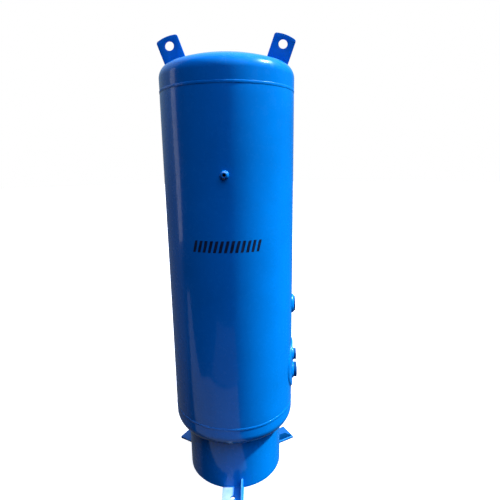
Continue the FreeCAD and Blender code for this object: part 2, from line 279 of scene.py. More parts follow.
def enamel(name, rough, grain, dust_sheen_cover=0.0, chips=0.0, depth=1.0, shadow_side_clear=0.0):
    """Sprayed gloss enamel: shade drift, the gun's upright passes and orange peel, with dust
    that lies on upward faces and chips along edges where they are wanted. On the gauge socket
    and the front foot's plate the dust also stands in for the sun's sheen (painted highlight).
    A depth under 1 darkens the paint as painted shade, for parts that stand in shadow, and dust
    kept off the shadow side is thin on the right of the object's middle, where the rib's cast
    shadow lies."""
    made, tree = new_material(name)
    place = placed(tree)
    drift = noise(tree, place, 2.6, 4.0)
    passes = noise(tree, placed(tree, (9.0, 9.0, 0.7)), 3.0, 3.0)
    # A depth under 1 darkens every tone of the paint: painted shade for parts that stand in shadow
    lighter = tuple(c * 1.14 * depth for c in ENAMEL)
    darker = tuple(c * 0.86 * depth for c in ENAMEL)
    middle = tuple(c * depth for c in ENAMEL)
    colour = mixed(tree, ranged(tree, drift, 0.3, 0.7, 0.0, 1.0), rgba(darker), rgba(lighter))
    colour = mixed(tree, ranged(tree, passes, 0.35, 0.65, 0.0, 0.5), colour, rgba(middle))
    speck = noise(tree, place, 34.0, 5.0, 0.62)
    gloss = ranged(tree, speck, 0.35, 0.7, rough * 0.8, rough * 1.5)
    if dust_sheen_cover:
        sheen_dust_mask = maths(tree, "MULTIPLY", ranged(tree, speck, 0.25, 0.6, 0.55, 1.0),
                      ranged(tree, facing_up(tree), 0.35, 0.95, 0.0, dust_sheen_cover))
        # Dust fades out right of the object's middle, where the rib's cast shadow begins on the front foot's
        # plate, so this painted sheen stays on the sunlit side
        across = add_node(tree, "ShaderNodeSeparateXYZ", {0: place}).outputs["X"]
        left = ranged(tree, across, RIB_SHADOW_EDGE[0], RIB_SHADOW_EDGE[1], 1.0, 1.0 - shadow_side_clear)
        sheen_dust_mask = maths(tree, "MULTIPLY", sheen_dust_mask, left)
        colour = mixed(tree, sheen_dust_mask, colour, rgba(DUST_SHEEN))
        gloss = maths(tree, "ADD", gloss, maths(tree, "MULTIPLY", sheen_dust_mask, 0.4))
    if chips:
        edge = add_node(tree, "ShaderNodeNewGeometry").outputs["Pointiness"]
        worn = maths(tree, "ADD", ranged(tree, edge, 0.5, 0.62, 0.0, 0.35),
                     ranged(tree, noise(tree, place, 120.0, 5.0, 0.7), 0.5, 0.8, 0.0, 0.6))
        chipped = ranged(tree, worn, 0.62, 0.66, 0.0, chips)
        colour = mixed(tree, chipped, colour, rgba(PRIMER))
        gloss = maths(tree, "ADD", gloss, maths(tree, "MULTIPLY", chipped, 0.3))
    height = maths(tree, "ADD", noise(tree, place, 420.0, 2.0),
                   noise(tree, placed(tree, (26.0, 26.0, 4.0)), 3.0, 2.0))
    bump = add_node(tree, "ShaderNodeBump", {
        "Strength": grain, "Distance": PEEL_DEPTH, "Height": height}).outputs[0]
    surfaced(tree, add_node(tree, "ShaderNodeBsdfPrincipled", {
        "Base Color": colour, "Roughness": gloss, "Normal": bump,
        "Specular IOR Level": ENAMEL_GLOSS, "Coat Weight": COAT_WEIGHT,
        "Coat Roughness": COAT_ROUGHNESS}))
    return made


def cut_thread_steel():
    """Bare steel in the sockets' threads, oily and dull with traces of rust."""
    made, tree = new_material("cut_thread_steel")
    place = placed(tree)
    rust = ranged(tree, noise(tree, place, 90.0, 6.0, 0.65), 0.52, 0.70, 0.0, 0.7)
    oil = noise(tree, place, 40.0, 3.0)
    bare = mixed(tree, oil, rgba(STEEL), rgba(OILY_STEEL))
    shade = mixed(tree, rust, bare, rgba(RUST))
    rough = ranged(tree, rust, 0.0, 0.7, 0.28, 0.75)
    bump = add_node(tree, "ShaderNodeBump", {
        "Strength": 0.3, "Distance": 0.0002, "Height": noise(tree, place, 900.0, 3.0)}).outputs[0]
    metal = ranged(tree, rust, 0.0, 0.7, 1.0, 0.2)
    surfaced(tree, add_node(tree, "ShaderNodeBsdfPrincipled", {
        "Base Color": shade, "Roughness": rough, "Metallic": metal, "Normal": bump}))
    return made


def stencil_paint():
    """Navy stencil paint, a dull thin film that the brush left uneven."""
    made, tree = new_material("stencil_paint")
    place = placed(tree)
    thin = noise(tree, place, 60.0, 4.0, 0.6)
    shade = mixed(tree, ranged(tree, thin, 0.35, 0.75, 0.0, 1.0), rgba(NAVY), rgba(THIN_NAVY))
    bump = add_node(tree, "ShaderNodeBump", {
        "Strength": 0.2, "Distance": 0.0003, "Height": noise(tree, place, 500.0, 3.0)}).outputs[0]
    surfaced(tree, add_node(tree, "ShaderNodeBsdfPrincipled", {
        "Base Color": shade, "Roughness": ranged(tree, thin, 0.3, 0.7, 0.32, 0.55),
        "Specular IOR Level": 0.3, "Normal": bump}))
    return made


wall_enamel = enamel("wall_enamel", 0.22, 0.10)
plate_enamel = enamel("plate_enamel", 0.26, 0.2)
lug_enamel = enamel("lug_enamel", 0.28, 0.25, 0.0, 0.8)
foot_enamel = enamel("foot_enamel", 0.30, 0.25, 0.12, 0.8)
# The rear feet's enamel, darkened to half: painted shade for feet that stand out of the sun
painted_shade_foot_enamel = enamel("painted_shade_foot_enamel", 0.42, 0.25, 0.0, 0.8, depth=0.5)
# The front foot's plate: dust that also stands in for the sun's sheen (painted highlight), kept off where the
# rib's shadow falls
plate_dust_sheen_enamel = enamel("plate_dust_sheen_enamel", 0.30, 0.25, 0.6, 0.8, shadow_side_clear=0.95)
# The gauge socket: dust on its upward faces that also brightens its sunlit chamfer as a painted highlight
gauge_dust_sheen_enamel = enamel("gauge_dust_sheen_enamel", 0.30, 0.25, 0.6, 0.8)
bead_enamel = enamel("bead_enamel", 0.24, 0.2)
# The side and drain sockets' enamel, darkened to about a third: painted shade
painted_shade_turned_enamel = enamel("painted_shade_turned_enamel", 0.32, 0.2, depth=0.35)
thread_steel = cut_thread_steel()
marking = stencil_paint()

# The paint of each foot's plate and of its rib: the front plate's dust also stands in for the sun's sheen
# (painted highlight), and the rear feet carry enamel darkened as painted shade
FOOT_PAINTS = {
    "front": (plate_dust_sheen_enamel, foot_enamel),
    "right": (painted_shade_foot_enamel, painted_shade_foot_enamel),
    "left": (painted_shade_foot_enamel, painted_shade_foot_enamel),
}


# Solids from rows of points
def skin(rows, loop):
    """Points and faces of a solid whose closed sections are rows of points. In a loop the
    last section joins the first, and otherwise both ends are capped."""
    stations, ring = rows.shape[:2]
    first = np.arange(stations if loop else stations - 1)[:, None] * ring
    ahead = (first + ring) % (stations * ring)
    across = np.arange(ring)[None, :]
    beside = (across + 1) % ring
    faces = np.stack([first + across, first + beside, ahead + beside, ahead + across], -1)
    faces = faces.reshape(-1, 4).tolist()
    if not loop:
        faces.append(list(range(ring)))
        faces.append(list(range((stations - 1) * ring, stations * ring)))
    return rows.reshape(-1, 3), faces


def piece(name, skins, material, stands_for, merge=False, sharp=35):
    """One piece made of closed skins, riding on the root body, in place of a CAD node."""
    points = np.concatenate([part[0] for part in skins])
    faces = []
    start = 0
    for part in skins:
        faces.extend([[corner + start for corner in face] for face in part[1]])
        start += len(part[0])
    data = bpy.data.meshes.new(name)
    data.from_pydata(points.tolist(), [], faces)
    work = bmesh.new()
    work.from_mesh(data)
    if merge:
        bmesh.ops.remove_doubles(work, verts=work.verts, dist=1e-6)
        loose = [edge for edge in work.edges if not edge.link_faces]
        bmesh.ops.delete(work, geom=loose, context="EDGES")
    bmesh.ops.recalc_face_normals(work, faces=work.faces)
    work.to_mesh(data)
    work.free()
    made = bpy.data.objects.new(name, data)
    bpy.context.scene.collection.objects.link(made)
    if material is None:
        return made
    data.materials.append(material)
    smooth(made, sharp)
    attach(made, "root")
    if stands_for:
        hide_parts(stands_for)
    return made


def smooth(made, sharp):
    """Smooth shading, with a crease wherever two faces meet at more than so many degrees."""
    made.data.polygons.foreach_set("use_smooth", [True] * len(made.data.polygons))
    made.data.set_sharp_from_angle(angle=math.radians(sharp))
    made.data.update()


def cut_out(made, cutter, sharp=35):
    """Cuts another object's volume out of a piece, and removes that object."""
    tool = made.modifiers.new("cut", "BOOLEAN")
    tool.operation = "DIFFERENCE"
    tool.solver = "EXACT"
    tool.object = cutter
    graph = bpy.context.evaluated_depsgraph_get()
    made.data = bpy.data.meshes.new_from_object(made.evaluated_get(graph))
    made.modifiers.clear()
    bpy.data.objects.remove(cutter)
    smooth(made, sharp)


def outward(azimuth):
    """Unit vectors away from the axis, for an array of azimuths."""
    azimuth = np.asarray(azimuth, float)
    return np.stack([np.sin(azimuth), -np.cos(azimuth), np.zeros_like(azimuth)], -1)


def sideways(azimuth):
    """Unit vectors round the axis, towards growing azimuth."""
    azimuth = np.asarray(azimuth, float)
    return np.stack([np.cos(azimuth), np.sin(azimuth), np.zeros_like(azimuth)], -1)


def turned(points, degrees):
    """Points drawn at the front, carried round the axis."""
    angle = math.radians(degrees)
    turn = np.array([[math.cos(angle), -math.sin(angle), 0.0],
                     [math.sin(angle), math.cos(angle), 0.0], [0.0, 0.0, 1.0]])
    return points @ turn.T


def circle(steps):
    return np.arange(steps) * 2 * math.pi / steps


def unit(vectors):
    return vectors / np.linalg.norm(vectors, axis=-1, keepdims=True)


def bar(radius, height, degrees):
    """A closed cylinder that points away from the axis, to cut a socket's hole."""
    around = circle(SOCKET_STEPS)
    ring = np.stack([radius * np.cos(around), 0 * around, radius * np.sin(around)], -1)
    rows = np.stack([ring + np.array([0.0, -reach, height]) for reach in (CUT_START, CUT_END)])
    return skin(turned(rows, degrees), False)


# Rolled wall and pressed heads
def rolled(azimuth, height):
    """How far the rolled wall stands off a true cylinder: long shallow waves, a flat beside
    the long seam and the pull of the round seams."""
    wave = (0.00030 * np.sin(2 * azimuth + 1.1 * height + 1.3)
            + 0.00022 * np.sin(5 * azimuth - 2.7 * height + 0.6)
            + 0.00015 * np.sin(7 * azimuth + 6.1 * height + 2.0)
            + 0.00010 * np.sin(13 * azimuth - 9.3 * height + 4.0))
    away = (azimuth - LONG_SEAM_AZIMUTH + math.pi) % (2 * math.pi) - math.pi
    flat = -0.0008 * np.exp(-(away / 0.11) ** 2)
    return wave + flat + pull(height)


def pull(height):
    """The weld's pull, inwards, beside both round seams."""
    return sum(-0.0005 * np.exp(-((height - seam) / 0.022) ** 2) for seam in (BOTTOM_SEAM, TOP_SEAM))


def shell_piece():
    azimuth = circle(ROUND_STEPS)[:, None]
    near = np.linspace(0, SEAM_BAND, 16)[:-1]
    between = np.linspace(BOTTOM_SEAM + SEAM_BAND, TOP_SEAM - SEAM_BAND, 130)
    outer = np.concatenate([BOTTOM_SEAM + near, between, TOP_SEAM - near[::-1]])[None, :]
    inner = np.linspace(TOP_SEAM, BOTTOM_SEAM, 12)[None, :]
    out_radius = SHELL_RADIUS + rolled(azimuth, outer)
    in_radius = SHELL_RADIUS - PLATE + rolled(azimuth, inner)
    radius = np.concatenate([out_radius, in_radius], 1)
    height = np.concatenate([outer + 0 * azimuth, inner + 0 * azimuth], 1)
    rows = outward(azimuth[:, 0])[:, None, :] * radius[..., None] + height[..., None] * UP
    made = piece("rolled_shell", [skin(rows, True)], wall_enamel, "shell")
    holes = [bar(size["outer"], size["height"], size["degrees"]) for size in SOCKETS.values()]
    cut_out(made, piece("shell_holes", holes, None, None))


def head_profile(flange, offset, steps_knuckle, steps_crown, hole):
    """Radius and height over the seam along the head, from its seam to its hole or pole."""
    knuckle = KNUCKLE_RADIUS + offset
    crown = CROWN_RADIUS + offset
    rim = np.stack([np.full(9, SHELL_RADIUS + offset), np.linspace(0, flange, 10)[:-1]], -1)
    bend = np.linspace(math.pi / 2, CROWN_ANGLE, steps_knuckle)
    turn = np.stack([KNUCKLE_CIRCLE + knuckle * np.sin(bend), flange + knuckle * np.cos(bend)], -1)
    last = math.asin(hole / crown)
    rise = np.linspace(CROWN_ANGLE, last, steps_crown)[1:]
    cap = np.stack([crown * np.sin(rise), flange - CROWN_SETBACK + crown * np.cos(rise)], -1)
    return np.concatenate([rim, turn, cap])


def head_piece(name, node, seam, flange, way, hole):
    """A dished head that rises (way 1) or hangs (way -1) from its seam. Its spinning marks
    and waves stand outwards on the flange and along the axis on the crown."""
    outer = head_profile(flange, 0.0, 22, 60, hole)
    inner = head_profile(flange, -PLATE, 10, 16, hole)[::-1]
    azimuth = circle(ROUND_STEPS)[:, None]
    radius, height = outer[None, :, 0], seam + way * outer[None, :, 1]
    fade = np.clip(radius / SHELL_RADIUS, 0, 1) ** 2
    spun = 0.00003 * np.sin(radius * 2 * math.pi / 0.017 + 2 * np.sin(azimuth * 2))
    spun = spun * np.clip(radius / 0.03, 0, 1)
    wave = (0.00035 * np.sin(3 * azimuth + 9 * radius) + 0.0002 * np.sin(5 * azimuth - 14 * radius)) * fade
    stand = wave + spun + pull(height)
    lean = np.clip(1 - outer[None, :, 1] / 0.2, 0, 1)
    out_radius = radius + stand * lean
    out_height = height + way * stand * (1 - lean)
    in_radius = inner[None, :, 0] + 0 * azimuth
    in_height = seam + way * inner[None, :, 1] + 0 * azimuth
    radius = np.concatenate([out_radius, in_radius], 1)
    height = np.concatenate([out_height, in_height], 1)
    rows = outward(azimuth[:, 0])[:, None, :] * radius[..., None] + height[..., None] * UP
    piece(name, [skin(rows, True)], wall_enamel, node, merge=True)


# Weld beads
def bead_piece(name, beads, node):
    piece(name, beads, bead_enamel, node, sharp=60)


def wander(share, seed, cycles):
    """A slow uneven wave along a bead, from -1 to 1, that closes on itself."""
    turns = 2 * math.pi * share
    return (np.sin(turns * cycles + seed) + 0.6 * np.sin(turns * (2 * cycles + 1) + 2.3 * seed)
            + 0.4 * np.sin(turns * (5 * cycles + 2) + 4.1 * seed)) / 2


def fillet_section(across):
    """A slightly crowned bead in a corner, in leg lengths along its two faces."""
    angle = across * math.pi / 2
    flat = 1 / (np.cos(angle) + np.sin(angle))
    reach = 0.45 * flat + 0.55
    return reach * np.cos(angle), reach * np.sin(angle), ((-0.25, -0.25),)


def seam_section(across):
    """A low crowned bead over a butt joint: half widths along the wall, caps outwards."""
    angle = across * math.pi
    cap = SEAM_CAP / SEAM_HALF_WIDTH
    return np.cos(angle), cap * np.sin(angle) ** 0.8, ((-0.75, -0.3), (0.75, -0.3))


def bead(corner, first, second, leg, loop, pitch, seed, section=fillet_section):
    """A bead along a line of points, lying on two faces that leave the line along first and
    second. Its crescent ripples follow the torch, and its edges wander a little."""
    closed = np.concatenate([corner, corner[:1]]) if loop else corner
    steps = np.linalg.norm(np.diff(closed, axis=0), axis=1)
    travelled = np.concatenate([[0.0], np.cumsum(steps)])
    total = travelled[-1]
    share = travelled[:len(corner)] / total
    ripples = max(1, round(total / pitch))
    across = np.linspace(0, 1, BEAD_POINTS)
    along_first, along_second, root = section(across)
    crescent = 1 - (2 * across - 1) ** 2
    phase = (share[:, None] * ripples + 0.7 * crescent + 0.12 * wander(share, seed, 7)[:, None]) % 1
    ripple = 0.09 * crescent * (0.5 + 0.5 * np.cos(2 * math.pi * phase ** 0.75))
    size = leg * (1 + 0.06 * wander(share, seed + 1, max(1, round(total / 0.07))))
    if not loop:
        edge = np.minimum(travelled, total - travelled) / (1.2 * leg)
        size = size * np.clip(0.35 + 0.65 * np.sin(np.clip(edge, 0, 1) * math.pi / 2), 0, 1)
    skew = 1 + 0.07 * wander(share, seed + 2, max(1, round(total / 0.05)))
    a = size[:, None] * (along_first[None, :] * skew[:, None] + ripple * np.sign(along_first + 1e-9) * 0.5)
    b = size[:, None] * (along_second[None, :] / skew[:, None] + ripple * 0.8)
    a = np.concatenate([a] + [size[:, None] * point[0] for point in root], 1)
    b = np.concatenate([b] + [size[:, None] * point[1] for point in root], 1)
    rows = corner[:, None, :] + a[..., None] * first[:, None, :] + b[..., None] * second[:, None, :]
    return skin(rows, loop)


def bead_stations(length, pitch):
    return max(8, round(length / pitch) * RIPPLE_POINTS)


def seam_beads():
    pitch = SEAM_PITCH
    for name, height, seed in (("top_seam_bead", TOP_SEAM, 1.0), ("bottom_seam_bead", BOTTOM_SEAM, 4.0)):
        azimuth = circle(bead_stations(2 * math.pi * SHELL_RADIUS, pitch))
        radius = SHELL_RADIUS + rolled(azimuth, height)
        corner = outward(azimuth) * radius[:, None] + height * UP
        first = np.tile(UP, (len(azimuth), 1))
        made = bead(corner, first, outward(azimuth), SEAM_HALF_WIDTH, True, pitch, seed, seam_section)
        bead_piece(name, [made], name.replace("bead", "weld"))
    height = np.linspace(BOTTOM_SEAM, TOP_SEAM, bead_stations(TOP_SEAM - BOTTOM_SEAM, pitch))
    azimuth = np.full_like(height, LONG_SEAM_AZIMUTH)
    radius = SHELL_RADIUS + rolled(azimuth, height)
    corner = outward(azimuth) * radius[:, None] + height[:, None] * UP
    made = bead(corner, sideways(azimuth), outward(azimuth), SEAM_HALF_WIDTH, False, pitch, 2.0,
                seam_section)
    bead_piece("long_seam_bead", [made], "long_seam_weld")


def skirt_bead():
    drop = math.sqrt(CROWN_RADIUS ** 2 - SKIRT_RADIUS ** 2)
    height = BOTTOM_CROWN_CENTRE - drop
    azimuth = circle(bead_stations(2 * math.pi * SKIRT_RADIUS, SKIRT_WELD_PITCH))
    corner = outward(azimuth) * SKIRT_RADIUS + height * UP
    slope = math.asin(SKIRT_RADIUS / CROWN_RADIUS)
    first = outward(azimuth) * math.cos(slope) + math.sin(slope) * UP
    second = np.tile(-UP, (len(azimuth), 1))
    made = bead(corner, first, second, SKIRT_WELD_LEG, True, SKIRT_WELD_PITCH, 3.0)
    bead_piece("skirt_bead", [made], "skirt_weld")


# Sockets
def socket_sizes(node, port, degrees, pitch, leg, wall):
    """A wall socket's sizes, from its CAD box and its mount."""
    low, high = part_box(node)
    threaded = MOUNTS[port]["dims"]
    mouth = -low.y if degrees == 0 else high.x
    return {"outer": (high.z - low.z) / 2, "height": (high.z + low.z) / 2, "mouth": mouth,
            "inner": mouth - threaded["length_mm"] / 1000, "bore": threaded["r_mm"] / 1000,
            "degrees": degrees, "pitch": pitch, "leg": leg, "wall": wall}


PAD_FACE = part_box("reinforcing_pad")[1].x
SMALL_THREAD = 0.001337
FINE_THREAD = 0.001814
COARSE_THREAD = 0.002309
SOCKETS = {
    "gauge_socket": socket_sizes("gauge_socket", "gauge_port", 0, SMALL_THREAD, GAUGE_WELD_LEG, SHELL_RADIUS),
    "outlet_socket": socket_sizes("outlet_socket", "outlet_port", SIDE_DEGREES, COARSE_THREAD,
                                  OUTLET_WELD_LEG, SHELL_RADIUS),
    "safety_valve_socket": socket_sizes("safety_valve_socket", "safety_valve_port", SIDE_DEGREES,
                                        COARSE_THREAD, SAFETY_WELD_LEG, PAD_FACE),
    "inlet_socket": socket_sizes("inlet_socket", "inlet_port", SIDE_DEGREES, COARSE_THREAD,
                                 INLET_WELD_LEG, PAD_FACE),
}


def socket_skins(outer, bore, inner, mouth, pitch, ease=SOCKET_ROUNDING):
    """The painted body and the threaded lining of a socket that points along -Y."""
    depth = 0.64 * pitch
    lining = bore + depth + 0.0003
    around = circle(SOCKET_STEPS)

    def turned_rings(radius, reach):
        x = radius * np.cos(around)[:, None]
        z = radius * np.sin(around)[:, None]
        return np.stack([x, -reach + 0 * x, z], -1)

    arc = np.linspace(0, math.pi / 2, 9)
    radius = np.concatenate([[outer], outer - ease + ease * np.cos(arc),
                             [lining + 0.0007, lining - 0.0001, lining - 0.0001]])
    reach = np.concatenate([[inner], mouth - ease + ease * np.sin(arc), [mouth, mouth - 0.0008, inner]])
    body = skin(turned_rings(radius[None, :], reach[None, :]), True)

    along = np.linspace(mouth - 0.0006, inner + 0.0004, int((mouth - inner) / pitch * 8))[None, :]
    turn = around[:, None] / (2 * math.pi)
    phase = (along / pitch + turn) % 1
    tooth = np.clip(1.25 * np.abs(2 * phase - 1) - 0.125, 0, 1)
    lead = np.clip((mouth - 0.0006 - along) / (1.5 * pitch), 0, 1)
    lead_in = bore + depth * (1 - lead)
    inside = np.maximum(bore + depth * tooth, lead_in)
    back = np.full((len(around), 2), lining)
    radius = np.concatenate([inside, back], 1)
    reach = np.concatenate([along, [[inner + 0.0004, mouth - 0.0006]]], 1)
    return body, skin(turned_rings(radius, reach), True)


def saddle_bead(outer, wall, leg, height, seed):
    """A bead where a front-facing socket or pad meets a round wall."""
    around = circle(bead_stations(2 * math.pi * outer, SOCKET_WELD_PITCH))
    x = outer * np.cos(around)
    corner = np.stack([x, -np.sqrt(wall ** 2 - x ** 2), height + outer * np.sin(around)], -1)
    away = np.stack([np.cos(around), np.zeros_like(x), np.sin(around)], -1)
    normal = unit(corner * np.array([1.0, 1.0, 0.0]))
    first = unit(away - normal * np.sum(away * normal, 1)[:, None])
    second = np.tile([0.0, -1.0, 0.0], (len(x), 1))
    return bead(corner, first, second, leg, True, SOCKET_WELD_PITCH, seed)


def wall_sockets():
    for seed, (node, size) in enumerate(SOCKETS.items()):
        ease = GAUGE_ROUNDING if node == "gauge_socket" else SOCKET_ROUNDING
        body, lining = socket_skins(size["outer"], size["bore"], size["inner"], size["mouth"],
                                    size["pitch"], ease)
        place = np.array([0.0, 0.0, size["height"]])
        body = (turned(body[0] + place, size["degrees"]), body[1])
        lining = (turned(lining[0] + place, size["degrees"]), lining[1])
        weld = saddle_bead(size["outer"], size["wall"], size["leg"], size["height"], seed + 5.0)
        weld = (turned(weld[0], size["degrees"]), weld[1])
        # The gauge socket's dust also stands in for a sunlit sheen (painted highlight); the other sockets'
        # enamel is darkened as painted shade
        paint = gauge_dust_sheen_enamel if node == "gauge_socket" else painted_shade_turned_enamel
        piece(node + "_body", [body], paint, node)
        piece(node + "_thread", [lining], thread_steel, None, sharp=25)
        bead_piece(node + "_bead", [weld], node + "_weld")


def drain_socket():
    low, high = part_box("drain_socket")
    bore = MOUNTS["drain_port"]["dims"]["r_mm"] / 1000
    outer = (high.x - low.x) / 2
    body, lining = socket_skins(outer, bore, -high.z, -low.z, FINE_THREAD)
    lay = np.array([[1.0, 0.0, 0.0], [0.0, 0.0, 1.0], [0.0, 1.0, 0.0]])
    # The drain socket's enamel is darkened as painted shade
    piece("drain_socket_body", [(body[0] @ lay, body[1])], painted_shade_turned_enamel, "drain_socket")
    piece("drain_socket_thread", [(lining[0] @ lay, lining[1])], thread_steel, None,
          sharp=25)
    around = circle(bead_stations(2 * math.pi * outer, SOCKET_WELD_PITCH))
    apex = BOTTOM_CROWN_CENTRE - math.sqrt(CROWN_RADIUS ** 2 - outer ** 2)
    corner = outward(around) * outer + apex * UP
    made = bead(corner, outward(around), np.tile(-UP, (len(around), 1)), DRAIN_WELD_LEG, True,
                SOCKET_WELD_PITCH, 9.0)
    bead_piece("drain_socket_bead", [made], "drain_socket_weld")


# Reinforcing pad
def pad_pieces():
    low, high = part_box("reinforcing_pad")
    reach = (high.z - low.z) / 2
    height = (high.z + low.z) / 2
    ease = PAD_ROUNDING
    around = circle(ROUND_STEPS)[:, None]
    arc = np.linspace(math.pi / 2, 0, 4)
    across = np.concatenate([np.linspace(0, reach - ease, 24)[:-1], reach - ease + ease * np.cos(arc),
                             [reach], np.linspace(reach, 0, 8)])[None, :]
    wall = np.concatenate([np.full(23, PAD_FACE), PAD_FACE - ease + ease * np.sin(arc),
                           [SHELL_RADIUS - 0.002], np.full(8, SHELL_RADIUS - 0.002)])[None, :]
    x = across * np.cos(around)
    z = height + across * np.sin(around)
    hammered = 0.0002 * np.sin(40 * x + 1) * np.sin(55 * z) * (wall > SHELL_RADIUS)
    rows = np.stack([x, -np.sqrt((wall + hammered) ** 2 - x ** 2), z], -1)
    plate = skin(turned(rows, SIDE_DEGREES), True)
    made = piece("pad_plate", [plate], plate_enamel, "reinforcing_pad", merge=True)
    holes = [bar(size["outer"], size["height"], SIDE_DEGREES)
             for size in SOCKETS.values() if size["wall"] == PAD_FACE]
    cut_out(made, piece("pad_holes", holes, None, None))
    weld = saddle_bead(reach, SHELL_RADIUS, PAD_WELD_LEG, height, 12.0)
    weld = (turned(weld[0], SIDE_DEGREES), weld[1])
    bead_piece("pad_bead", [weld], "reinforcing_pad_weld")


# Plates cut to an outline, with eased edges and the cutting flame's fine drag lines
def line_points(start, end):
    steps = max(1, round(math.dist(start, end) / OUTLINE_STEP))
    share = np.arange(steps)[:, None] / steps
    return np.array(start) * (1 - share) + np.array(end) * share


def arc_points(centre, radius, start, end):
    steps = max(6, round(radius * abs(end - start) / OUTLINE_STEP))
    angle = start + (end - start) * np.arange(steps) / steps
    return np.array(centre) + radius * np.stack([np.cos(angle), np.sin(angle)], -1)


def rounded_outline(corners, radius):
    """A convex outline through corners, each rounded, run anticlockwise."""
    corners = np.array(corners)
    stretches = []
    for before, corner, after in zip(np.roll(corners, 1, 0), corners, np.roll(corners, -1, 0)):
        back = unit(before - corner)
        ahead = unit(after - corner)
        half = math.acos(np.clip(back @ ahead, -1, 1)) / 2
        middle = corner + unit(back + ahead) * radius / math.sin(half)
        leave = corner + back * radius / math.tan(half)
        start = math.atan2(*(leave - middle)[::-1])
        arrive = corner + ahead * radius / math.tan(half)
        end = math.atan2(*(arrive - middle)[::-1])
        stretches.append((middle, start, start + (end - start) % (2 * math.pi), arrive, leave))
    outline = []
    for stretch, following in zip(stretches, stretches[1:] + stretches[:1]):
        outline.append(arc_points(stretch[0], radius, stretch[1], stretch[2]))
        outline.append(line_points(stretch[3], following[4]))
    return np.concatenate(outline)


def inward_normals(outline):
    """Unit normals that point into an outline run anticlockwise."""
    along = np.roll(outline, -1, 0) - np.roll(outline, 1, 0)
    return unit(np.stack([-along[:, 1], along[:, 0]], -1))


def flame_cut(outline, drag):
    """The outline with drag lines across its edge."""
    steps = np.linalg.norm(np.roll(outline, -1, 0) - outline, axis=1)
    travelled = np.cumsum(steps)
    uneven = np.sin(travelled / 0.0031) + 0.7 * np.sin(travelled / 0.0011) + 0.5 * np.sin(travelled / 0.017)
    return outline + inward_normals(outline) * (drag * uneven)[:, None]


def edge_layers(thickness, ease):
    """How far each layer through a plate is drawn in, and its height from the middle."""
    arc = np.linspace(0, math.pi / 2, 4)
    inset = ease - ease * np.cos(arc)
    level = thickness / 2 - ease + ease * np.sin(arc)
    return np.concatenate([inset[::-1], inset]), np.concatenate([level[::-1], -level])


def plain_plate(outline, thickness, ease):
    """A plate as rows of outlines, one for each layer: across, up and through."""
    normals = inward_normals(outline)
    inset, level = edge_layers(thickness, ease)
    rows = outline[None, :, :] + inset[:, None, None] * normals[None, :, :]
    through = np.broadcast_to(level[:, None, None], rows.shape[:2] + (1,))
    return np.concatenate([rows, through], -1)


def holed_plate(outline, centre, hole, thickness, ease):
    """A plate with a round hole, as sections that run from its edge to the hole and back."""
    centre = np.array(centre)
    normals = inward_normals(outline)
    inset, level = edge_layers(thickness, ease)
    edge = outline[:, None, :] + inset[None, ::-1, None] * normals[:, None, :]
    away = unit(outline - centre)
    rim = centre + (hole + inset)[None, :, None] * away[:, None, :]
    rows = np.concatenate([edge, rim], 1)
    through = np.concatenate([level[::-1], level])
    through = np.broadcast_to(through[None, :, None], rows.shape[:2] + (1,))
    return np.concatenate([rows, through], -1)


def laid(rows, origin, across, up, through):
    """Points given across, up and through, put into the frame."""
    return (np.array(origin) + rows[..., 0:1] * np.array(across) + rows[..., 1:2] * np.array(up)
            + rows[..., 2:3] * np.array(through))


